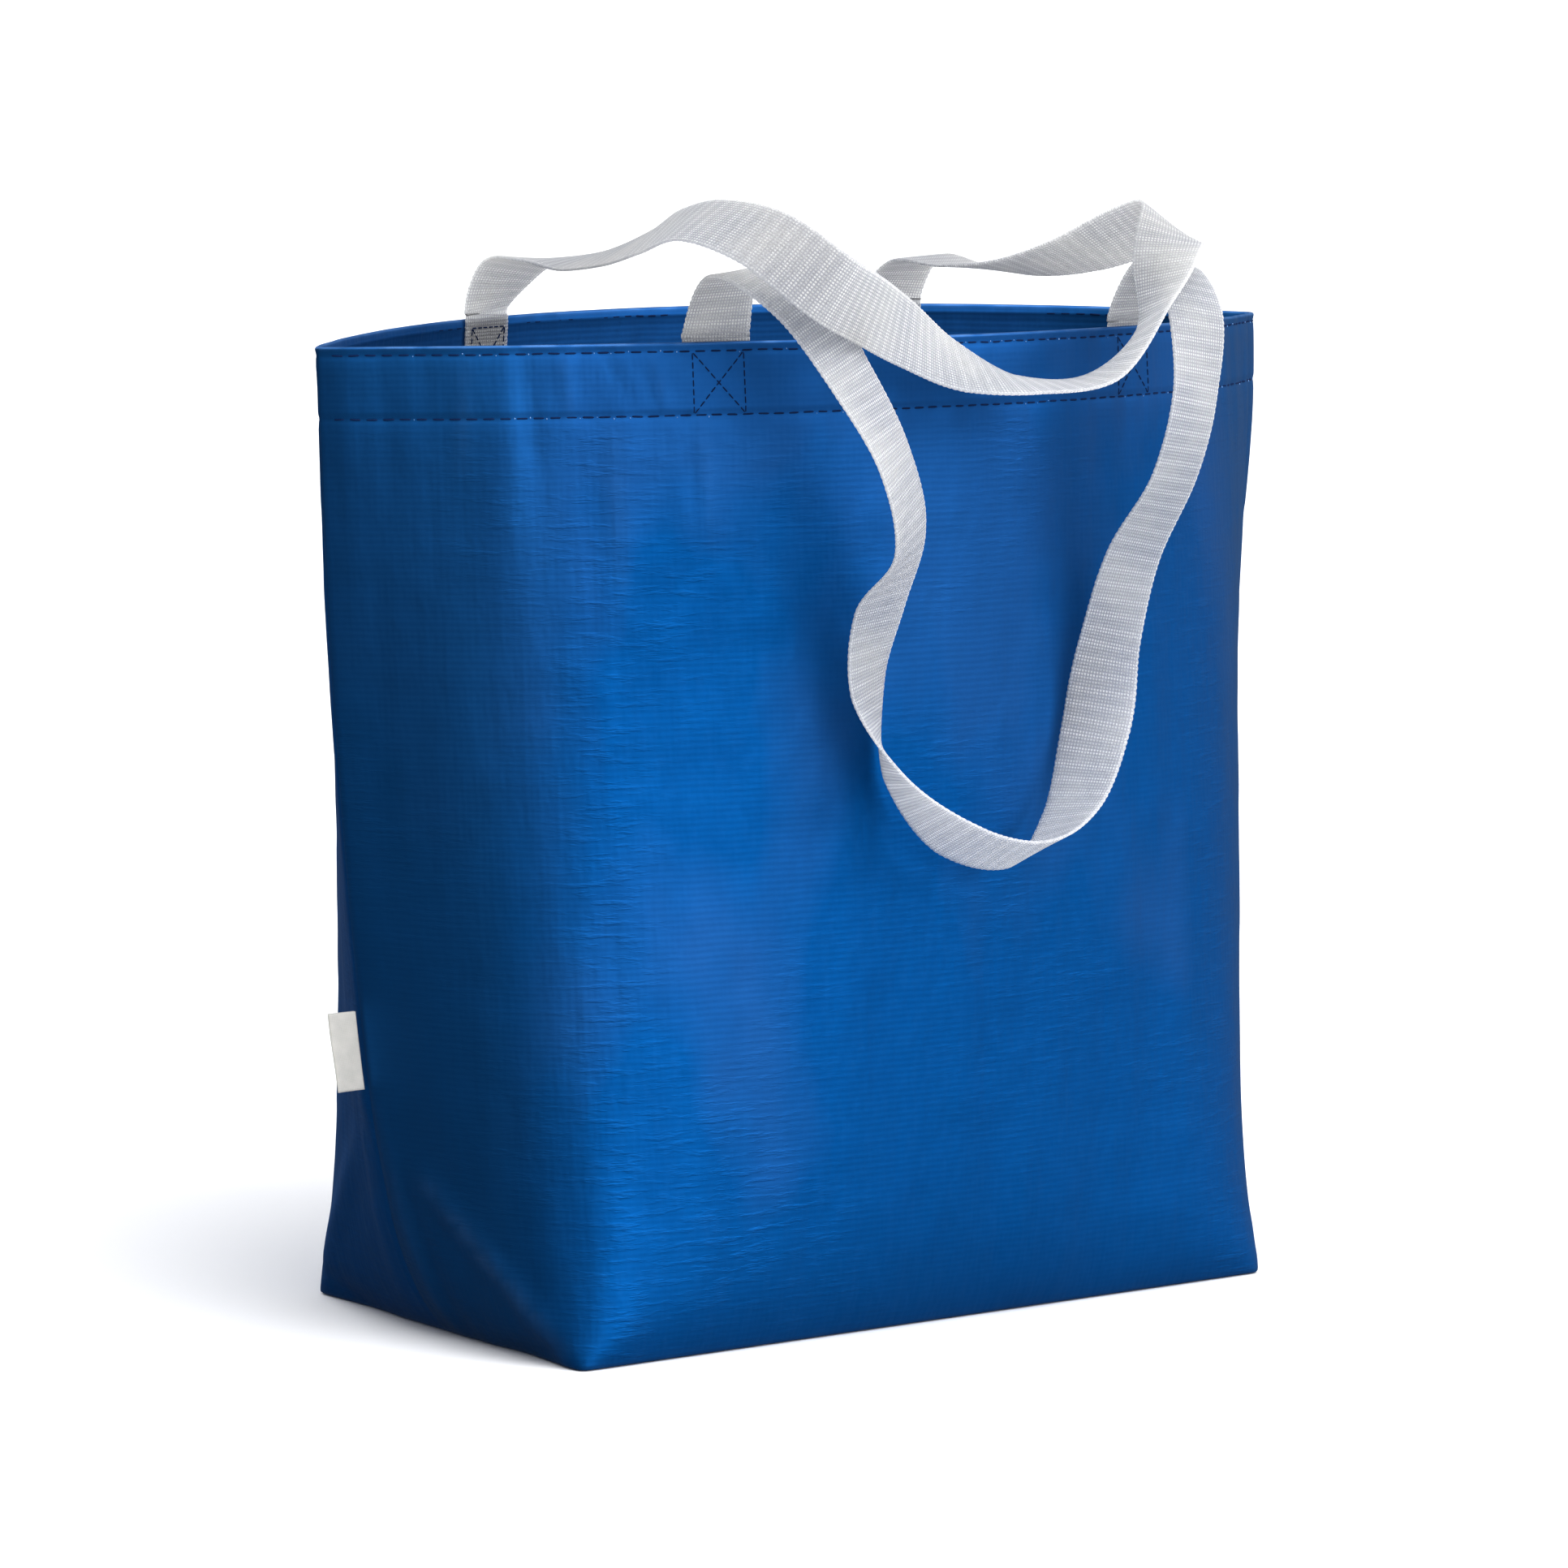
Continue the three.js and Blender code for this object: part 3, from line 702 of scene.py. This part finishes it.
def skinRows():
    # height, inward and lift of each row, up the outside, over the rim and down the inside
    rows = [(0.0, 0.0012, 0), (0.0002, 0.0005, 0), (0.0008, 0.0001, 0), (0.0020, 0, 0)]
    height = rows[-1][0]
    while height < skin["wallTop"]:
        nearRow = min(abs(height - cloth["upperRow"]), abs(height - cloth["lowerRow"]))
        height += skin["rowStep"] if nearRow < 0.0032 else skin["wallStep"]
        rows.append((min(height, skin["foldFrom"]), 0, 0))
    radius = bag["hemFace"] / 2
    for i in range(1, skin["foldSteps"]):
        turn = math.pi * i / skin["foldSteps"]
        rows.append((skin["foldFrom"], radius * (1 - math.cos(turn)), radius * math.sin(turn)))
    rows += [(height, bag["hemFace"], 0) for height in skin["hemRows"]]
    rows.append((0.3688, bag["hemFace"] - 0.0003, 0))
    rows.append((0.3687, bag["wall"] + 0.0001, 0))
    height = skin["innerTop"]
    while height > 0.012:
        rows.append((height, bag["wall"], 0))
        height -= skin["innerStep"] if height > 0.08 else skin["innerStepLow"]
    rows += [(0.006, bag["wall"], 0), (0.0024, bag["wall"] + 0.0002, 0),
             (0.0010, bag["wall"] + 0.0012, 0)]
    return np.array(rows)


def closeFlat(bm, edges, level, shares):
    # rings of cloth from the walls to the middle of the base
    for share in shares:
        made = bmesh.ops.extrude_edge_only(bm, edges=edges)["geom"]
        verts = [g for g in made if isinstance(g, bmesh.types.BMVert)]
        edges = [g for g in made if isinstance(g, bmesh.types.BMEdge)
                 and all(v in verts for v in g.verts)]
        for vert in verts:
            vert.co = (vert.co.x * share, vert.co.y * share, level)
    bmesh.ops.contextual_create(bm, geom=edges)


def makeSkin():
    along, rows = skinColumns(), skinRows()
    bm, column, row = clothGrid(len(along), len(rows))
    height, inward, lift = rows[row, 0], rows[row, 1], rows[row, 2]
    a = along[column]
    relief = clothRelief(a, height)
    inside = inward > bag["hemFace"] * 0.75
    relief = np.where(inside & (height < 0.3985), relief * 0.8, relief)
    points = skinPoints(a, height, inward - relief, lift)
    step = np.hypot(np.diff(rows[:, 0] + rows[:, 2], prepend=0), np.diff(rows[:, 1], prepend=0))
    layFlatCoordinates(bm, a, np.cumsum(step)[row])
    wear = bm.verts.layers.float.new("foldWear")
    rimWear = np.exp(-((height + lift - 0.3998) / 0.0007) ** 2)
    foldWear = np.zeros(len(a))
    for startAlong, startHeight, endAlong, endHeight, width, rise in cloth["folds"]:
        if rise > 0 and width < 0.0085:
            foldWear += 90 * rise * nearLine(a, height, (startAlong, startHeight),
                                             (endAlong, endHeight), width * 0.6)
    baseWear = np.exp(-((height - 0.0006) / 0.0012) ** 2) * (inward < 0.0013)
    speckle = 0.6 + 0.4 * clothNoise(a, height, 0.006, 0.004, 71)
    total = np.clip((0.75 * rimWear + 0.12 * baseWear + foldWear) * speckle, 0, 0.8)
    for vert, value in zip(bm.verts, total.tolist()):
        vert[wear] = value
    moveVerts(bm, points)
    bmesh.ops.remove_doubles(bm, verts=bm.verts, dist=0.00002)
    openEdges = [e for e in bm.edges if e.is_boundary]
    outer = [e for e in openEdges if e.verts[0].co.z < 0.0006 and e.verts[1].co.z < 0.0006]
    inner = [e for e in openEdges if e not in set(outer)]
    closeFlat(bm, outer, 0.0, skin["baseRings"])
    closeFlat(bm, inner, skin["innerFloor"], skin["innerRings"])
    bmesh.ops.recalc_face_normals(bm, faces=bm.faces)
    piece = newPiece("skin", bm, laminateCloth)
    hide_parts("bag_body")
    return piece


bagSkin = makeSkin()
print("skin sewn", len(bagSkin.data.polygons), "faces")


# the handles

handle = {
    "width": 0.028,
    "thickness": 0.0014,
    "spacing": 0.215,
    "endAboveHem": 0.004,
    "endGap": 0.00055,
    "riseBeforeBend": 0.003,
    "rise": 0.048,
    "frontDrop": 0.206,
    "frontReach": 0.1058,
    "rows": 1100,
    "scallop": 0.00042,
    "scallopPitch": 0.0026,
    "edgeDrift": 0.00012,
    "weaveShift": 0.0007,          # between the weave of one face and the other
}
# of each station: across, out and rise as shares, then the direction of the width
frontHandleRoute = [
    (-1.01, -0.88, 0.56, 0.99, 0.02, 0.11), (-0.93, -1.15, 0.4, 0.91, 0, 0.42),
    (-0.79, -1.28, -0.05, 0.86, 0.33, 0.39), (-0.65, -1.38, -0.21, 0.81, 0.45, 0.38),
    (-0.53, -1.33, -0.37, 0.84, 0.4, 0.36), (-0.51, -1.13, -0.51, 0.99, 0.12, 0.09),
    (-0.49, -1.04, -0.67, 0.9, 0.42, 0.1), (-0.4, -1.1, -0.84, 0.35, 0.93, -0.16),
    (-0.18, -1.2, -0.96, -0.04, 0.88, -0.48), (0.15, -1.22, -1, -0.11, 0.86, -0.49),
    (0.43, -1.13, -0.93, -0.27, 0.95, -0.17), (0.61, -1.05, -0.78, -0.65, 0.75, 0.11),
    (0.7, -1.02, -0.61, -0.96, 0.21, 0.2), (0.75, -1.09, -0.44, -0.98, 0, 0.19),
    (0.82, -1.24, -0.28, -0.97, -0.19, 0.13), (0.88, -1.28, -0.12, -0.97, -0.19, 0.15),
    (0.94, -1.19, 0.23, -0.97, 0.13, 0.2), (1.01, -0.93, 0.52, -0.99, 0.1, 0.11),
]
backHandleRoute = [
    (-0.99, 0.57, 0.44, 0.98, -0.1, -0.17), (-1.02, 0.26, 0.54, 0.99, -0.12, 0.02),
    (-1.07, -0.04, 0.58, 0.95, -0.11, 0.3), (-1.11, -0.35, 0.71, 0.87, -0.05, 0.49),
    (-1.17, -0.64, 0.88, 0.79, 0.01, 0.61), (-1.21, -0.95, 1, 0.84, 0.03, 0.54),
    (-1.16, -1.25, 0.88, 0.74, -0.02, 0.67), (-0.98, -1.42, 0.5, 0.48, -0.28, 0.83),
    (-0.75, -1.33, 0.31, 0.41, -0.1, 0.9), (-0.46, -1.19, 0.08, 0.38, 0.2, 0.9),
    (-0.15, -1.13, -0.05, 0.34, 0.66, 0.66), (0.14, -1.18, -0.09, 0.23, 0.96, 0.18),
    (0.44, -1.25, -0.08, 0.18, 0.98, -0.03), (0.67, -1.26, 0.1, 0.24, 0.92, -0.32),
    (0.82, -1.17, 0.65, -0.55, 0.83, -0.03), (1, -0.96, 0.88, -0.71, 0.36, 0.61),
    (1.07, -0.67, 0.77, -0.73, 0.18, 0.66), (1.02, -0.38, 0.54, -0.89, 0.02, 0.45),
    (0.98, -0.08, 0.4, -0.97, -0.06, 0.24), (0.97, 0.25, 0.38, -1, 0, 0.03),
    (0.98, 0.57, 0.4, -1, 0.05, -0.07),
]
backMiddle = 2 * panelHalf
sewnEnds = {
    "frontLeft": (-handle["spacing"] / 2, 1),
    "frontRight": (handle["spacing"] / 2, -1),
    "backLeft": (backMiddle + handle["spacing"] / 2, -1),
    "backRight": (backMiddle - handle["spacing"] / 2, 1),
}


def unit(vector):
    return vector / np.linalg.norm(vector, axis=-1, keepdims=True)


def sewnInward(along):
    # from the outer face to the middle of a webbing end on the inside of the hem
    half = handle["width"] / 2
    edges = skinPoints([along - half, along + half], bag["height"])
    bow = np.linalg.norm(edges.mean(axis=0) - skinPoints(along, bag["height"]))
    return bag["hemFace"] + handle["endGap"] + bow + handle["thickness"] / 2, edges


def sewnStations(along, acrossSign):
    inward, edges = sewnInward(along)
    across = unit(edges[1] - edges[0]) * acrossSign
    low = skinPoints(along, bag["height"] - bag["hemDepth"] + handle["endAboveHem"], inward)
    atRim = skinPoints(along, bag["height"], inward)
    leaving = atRim + np.array([0, 0, handle["riseBeforeBend"]])
    return [(place, across) for place in (low, atRim, leaving)]


def freeStation(station):
    acrossShare, outShare, riseShare, *direction = station
    x = acrossShare * skinPoints(handle["spacing"] / 2, bag["height"])[0]
    rise = riseShare * (handle["rise"] if riseShare > 0 else handle["frontDrop"])
    return (np.array([x, outShare * handle["frontReach"], bag["height"] + rise]),
            unit(np.array(direction, float)))


def curveThrough(points, times):
    # centripetal curve through the points; time runs from 0 to 1
    points = np.array(points)
    padded = np.vstack([2 * points[0] - points[1], points, 2 * points[-1] - points[-2]])
    spot = np.clip(times * (len(points) - 1), 0, len(points) - 1 - 1e-9)
    i = spot.astype(int)
    w = (spot - i)[:, None]
    p0, p1, p2, p3 = (padded[i + k] for k in range(4))

    def gap(a, b):
        return np.sqrt(np.linalg.norm(a - b, axis=1))[:, None]

    d1 = gap(p1, p2)
    d1 = np.where(d1 < 1e-4, 1, d1)
    d0, d2 = gap(p0, p1), gap(p2, p3)
    d0, d2 = np.where(d0 < 1e-4, d1, d0), np.where(d2 < 1e-4, d1, d2)
    t1 = ((p1 - p0) / d0 - (p2 - p0) / (d0 + d1) + (p2 - p1) / d1) * d1
    t2 = ((p2 - p1) / d1 - (p3 - p1) / (d1 + d2) + (p3 - p2) / d2) * d1
    return (p1 + t1 * w + (3 * (p2 - p1) - 2 * t1 - t2) * w ** 2
            + (2 * (p1 - p2) + t1 + t2) * w ** 3)


def handlePath(leftEnd, route, rightEnd, count):
    # middle, forward, across and face direction at even lengths, and the length so far
    stations = (sewnStations(*leftEnd) + [freeStation(s) for s in route]
                + sewnStations(*rightEnd)[::-1])
    middles, crossings = [s[0] for s in stations], [s[1] for s in stations]
    fine = np.linspace(0, 1, 80 * len(stations) + 1)
    dense = curveThrough(middles, fine)
    run = np.concatenate([[0], np.cumsum(np.linalg.norm(np.diff(dense, axis=0), axis=1))])
    length = np.linspace(0, run[-1], count)
    times = np.interp(length, run, fine)
    place = curveThrough(middles, times)
    nudge = 1e-4
    forward = unit(curveThrough(middles, np.minimum(times + nudge, 1))
                   - curveThrough(middles, np.maximum(times - nudge, 0)))
    face = unit(np.cross(forward, curveThrough(crossings, times)))
    return place, forward, np.cross(face, forward), face, length


def tapeProfile():
    # round the webbing's section: across in half widths, up in half thicknesses, flat coordinate
    flat = np.linspace(-0.955, 0.955, 13)
    turn = np.linspace(-0.5, 0.5, 5)[1:-1] * math.pi
    top = [(t, 1.0 - 0.16 * abs(t) ** 6) for t in flat]
    rightEdge = [(0.962 + 0.038 * math.cos(a), -0.84 * math.sin(a)) for a in turn]
    bottom = [(t, -u) for t, u in reversed(top)]
    leftEdge = [(-t, -u) for t, u in rightEdge]
    loop = top + rightEdge + bottom + leftEdge
    return np.array(loop + loop[:1])


def makeHandle(name, node, leftEnd, route, rightEnd, seed):
    place, forward, across, face, length = handlePath(leftEnd, route, rightEnd, handle["rows"])
    profile = tapeProfile()
    bm, column, row = clothGrid(len(profile), handle["rows"])
    t, u = profile[column, 0], profile[column, 1]
    run = length[row]
    random = np.random.RandomState(seed)
    drift = np.interp(run, np.linspace(0, length[-1], 40), random.uniform(-1, 1, 40))
    scallop = handle["scallop"] * (np.abs(np.sin(math.pi * run / handle["scallopPitch"]
                                                 + np.where(t > 0, 0, 1.3))) - 0.6)
    half = (handle["width"] / 2
            + (scallop + handle["edgeDrift"] * drift) * (np.abs(t) > 0.9))
    thick = handle["thickness"] / 2
    points = (place[row] + across[row] * (t * half)[:, None] + face[row] * (u * thick)[:, None])
    layFlatCoordinates(bm, run, (t * handle["width"] / 2
                                 + np.where(u < 0, handle["weaveShift"], 0)))
    moveVerts(bm, points)
    bmesh.ops.remove_doubles(bm, verts=bm.verts, dist=0.000005)
    bmesh.ops.holes_fill(bm, edges=[e for e in bm.edges if e.is_boundary], sides=0)
    bmesh.ops.recalc_face_normals(bm, faces=bm.faces)
    piece = newPiece(name, bm, webbingCloth)
    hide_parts(node)
    return piece


frontWebbing = makeHandle("frontWebbing", "front_handle", sewnEnds["frontLeft"],
                          frontHandleRoute, sewnEnds["frontRight"], 3)
makeHandle("backWebbing", "back_handle", sewnEnds["backLeft"],
           backHandleRoute, sewnEnds["backRight"], 4)
print("handles woven", len(frontWebbing.data.polygons), "faces each")


# stitches

stitch = {
    "pitch": 0.0065,
    "gap": 0.0010,
    "crossPitch": 0.0036,
    "crossGap": 0.0003,
    "thread": 0.00037,            # half of the thread's width
    "crossThread": 0.00028,
    "sink": 0.00006,
    "crossInset": 0.0035,
    "markShare": 0.45,            # of the stitches
    "markSize": (0.00016, 0.00030),
    "wobble": 0.00016,
    "seamClearance": 0.0015,
}


def stitchTemplate():
    # one stitch along X, two units long, its ends drawn down into the cloth
    bm = bmesh.new()
    bmesh.ops.create_cone(bm, cap_ends=True, segments=6, radius1=1, radius2=1, depth=2,
                          matrix=Matrix.Rotation(math.pi / 2, 4, "Y"))
    longEdges = [e for e in bm.edges if abs(e.verts[0].co.x - e.verts[1].co.x) > 1]
    bmesh.ops.subdivide_edges(bm, edges=longEdges, cuts=4)
    for vert in bm.verts:
        x = vert.co.x
        swell = 1 - 0.55 * abs(x) ** 6
        vert.co.y *= swell
        vert.co.z = vert.co.z * swell - 1.1 * abs(x) ** 5
    mesh = bpy.data.meshes.new("stitchTemplate")
    bm.to_mesh(mesh)
    bm.free()
    return mesh


stitchMesh = stitchTemplate()


def sewStitches(bm, starts, ends, normals, thread):
    for start, end, normal in zip(starts, ends, normals):
        start, end, normal = Vector(start), Vector(end), Vector(normal)
        run = (end - start) / 2
        side = normal.cross(run).normalized()
        up = run.normalized().cross(side)
        before = len(bm.verts)
        bm.from_mesh(stitchMesh)
        bm.verts.ensure_lookup_table()
        axes = Matrix((run, side * thread, up * thread)).transposed().to_4x4()
        bmesh.ops.transform(bm, matrix=Matrix.Translation((start + end) / 2) @ axes,
                            verts=bm.verts[before:])


def outwardNormals(along, height):
    nudge = 0.0015
    sideways = skinPoints(along + nudge, height) - skinPoints(along - nudge, height)
    upward = (skinPoints(along, np.minimum(height + nudge, bag["height"]))
              - skinPoints(along, height - nudge))
    return unit(np.cross(sideways, upward))


def rowOfStitches(bm, marks, height, inside, seed):
    # one line of stitches round the bag, seen on the outer face or on the hem's inner face
    random = np.random.RandomState(seed)
    count = round(girth / stitch["pitch"])
    pitch = girth / count
    start = (np.arange(count) + 0.5 * inside) * pitch - panelHalf
    wobble = random.uniform(-stitch["wobble"], stitch["wobble"], count + 1)
    wobble[-1] = wobble[0]
    gap = stitch["gap"] * random.uniform(0.7, 1.35, count) / 2
    inward = bag["hemFace"] + 0.0001 if inside else -0.0001
    sink = stitch["sink"] * (-1 if inside else 1)
    place = skinPoints if inside else clothPoints
    starts = place(start + gap, height + wobble[:-1], inward + sink)
    ends = place(start + pitch - gap, height + wobble[1:], inward + sink)
    normals = outwardNormals(start + pitch / 2, np.full(count, height)) * (-1 if inside else 1)
    # none is sewn right at a seam's corner
    clear = np.minimum(seamDistance(start), seamDistance(start + pitch))
    keep = clear > stitch["seamClearance"]
    sewStitches(bm, starts[keep], ends[keep], normals[keep], stitch["thread"])
    if marks is None:
        return
    for i in range(count):
        if random.uniform() > stitch["markShare"]:
            continue
        size = random.uniform(*stitch["markSize"])
        spot = place(start[i] + random.uniform(-0.4, 0.4) * stitch["gap"],
                     height + random.uniform(-0.0007, 0.0004), inward)
        tall = Matrix.Translation(spot) @ Matrix.Diagonal((1, 1, 1.4, 1))
        bmesh.ops.create_icosphere(marks, subdivisions=1, radius=size, matrix=tall)


def crossOfStitches(bm, along, inside, seed):
    # the box with a cross at a handle's end, between the two rows of the hem
    random = np.random.RandomState(seed)
    half = handle["width"] / 2 - stitch["crossInset"]
    low, high = cloth["lowerRow"] + 0.0004, cloth["upperRow"] - 0.0004
    skew = random.uniform(-0.0006, 0.0006, 4)
    corners = [np.array([-half + skew[0], low]), np.array([-half + skew[1], high]),
               np.array([half + skew[2], low]), np.array([half + skew[3], high])]
    lines = [(0, 1), (2, 3), (0, 3), (1, 2)]
    if inside:
        # the webbing's end is flat, so its stitches lie in one upright plane
        lines += [(0, 2), (1, 3)]
        inward, edges = sewnInward(along)
        side = unit((edges[1] - edges[0]) * [1, 1, 0])
        face = np.array([-side[1], side[0], 0])
        inward += handle["thickness"] / 2 + 0.0001
    for first, last in lines:
        a, b = corners[first], corners[last]
        count = max(3, round(np.linalg.norm(b - a) / stitch["crossPitch"]))
        share = np.arange(count) / count
        gap = stitch["crossGap"] / np.linalg.norm(b - a) / 2
        marks = a + (b - a) * np.concatenate([share + gap, share + 1 / count - gap])[:, None]
        if inside:
            points = skinPoints(along, marks[:, 1], inward) + side * marks[:, :1]
            normals = np.tile(face, (count, 1))
        else:
            points = clothPoints(along + marks[:, 0], marks[:, 1], -0.00004)
            middle = (marks[:count] + marks[count:]) / 2
            normals = outwardNormals(along + middle[:, 0], middle[:, 1])
        sewStitches(bm, points[:count], points[count:], normals, stitch["crossThread"])


def makeStitches():
    marks = bmesh.new()
    for name, node, height, seed in (("upperHemRow", "upper_hem_stitches", cloth["upperRow"], 5),
                                     ("lowerHemRow", "lower_hem_stitches", cloth["lowerRow"], 6)):
        bm = bmesh.new()
        rowOfStitches(bm, marks, height, False, seed)
        rowOfStitches(bm, None, height, True, seed + 20)
        piece = newPiece(name, bm, threadYarn)
        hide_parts(node)
    newPiece("needleMarks", marks, needleMarkFilm)
    nodes = {"frontLeft": "front_left", "frontRight": "front_right",
             "backLeft": "back_left", "backRight": "back_right"}
    for seed, (place, node) in enumerate(nodes.items()):
        bm = bmesh.new()
        crossOfStitches(bm, sewnEnds[place][0], False, 40 + seed)
        crossOfStitches(bm, sewnEnds[place][0], True, 50 + seed)
        piece = newPiece(place + "Cross", bm, threadYarn)
        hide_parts(node + "_cross_stitch")


makeStitches()
print("stitches sewn")


# seam allowances and label

seam = {
    "rows": 120,
    "columns": 6,
    "allowance": 0.009,
    "thickness": 0.0009,
    "low": 0.006,
    "high": 0.3975,
    "sway": 0.0022,
    "wave": 0.0007,
    "inward": 0.0026,
}


def makeAllowance(name, side, seed):
    # the two trimmed layers that stand inwards from a side seam, on the inside of the bag
    rows, columns = seam["rows"], seam["columns"]
    bm, column, row = clothGrid(columns, rows)
    height = seam["low"] + (seam["high"] - seam["low"]) * row / (rows - 1)
    out = column / (columns - 1)
    random = np.random.RandomState(seed)
    swayAt = np.interp(height, np.linspace(0, 0.4, 9), random.uniform(-1, 1, 9))
    wave = np.interp(height, np.linspace(0, 0.4, 45), random.uniform(-1, 1, 45))
    corner = skinPoints(np.full(len(row), side * panelHalf), height, seam["inward"])
    reach = seam["allowance"] + 0.0005 * wave * out
    x = corner[:, 0] - side * reach * out
    y = (seam["sway"] * swayAt + seam["wave"] * wave) * out ** 1.5
    layFlatCoordinates(bm, height, out * seam["allowance"])
    moveVerts(bm, np.stack([x, y, corner[:, 2]], axis=1))
    bmesh.ops.solidify(bm, geom=list(bm.faces), thickness=seam["thickness"])
    bmesh.ops.recalc_face_normals(bm, faces=bm.faces)
    newPiece(name, bm, laminateCloth, smooth=False)


label = {
    "rows": 34,
    "columns": 41,
    "height": 0.032,
    "reach": 0.013,
    "layer": 0.00035,
    "middleHeight": 0.119,
    "foldRadius": 0.00045,
    "curl": 0.0010,
}


def makeLabel():
    rows, columns = label["rows"], label["columns"]
    bm, column, row = clothGrid(columns, rows)
    # out along the front layer, round the fold and back along the rear layer
    straight, radius = label["reach"] - 0.0006, label["foldRadius"]
    run = column / (columns - 1) * (2 * straight + math.pi * radius)
    turn = np.clip((run - straight) / radius, 0, math.pi)
    backRun = np.clip(run - straight - math.pi * radius, 0, None)
    out = np.minimum(run, straight) + radius * np.sin(turn) - backRun
    depth = -radius * np.cos(turn)
    height = label["middleHeight"] + label["height"] * (row / (rows - 1) - 0.5)
    share = out / label["reach"]
    curl = label["curl"] * share ** 2 * (0.6 + 0.4 * np.sin(row / (rows - 1) * 5 + 0.6))
    corner = skinPoints(np.full(len(row), -panelHalf), height)
    points = np.stack([corner[:, 0] - label["layer"] - out, depth - curl, corner[:, 2]], axis=1)
    layFlatCoordinates(bm, run, height)
    moveVerts(bm, points)
    bmesh.ops.recalc_face_normals(bm, faces=bm.faces)
    piece = newPiece("sideLabel", bm, labelCloth)
    wall = piece.modifiers.new("ribbonThickness", "SOLIDIFY")
    wall.thickness, wall.offset = label["layer"], 0
    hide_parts("side_label")


makeAllowance("leftAllowance", -1, 61)
makeAllowance("rightAllowance", 1, 62)
makeLabel()
bpy.data.meshes.remove(stitchMesh)
print("trim sewn")


print("finished")
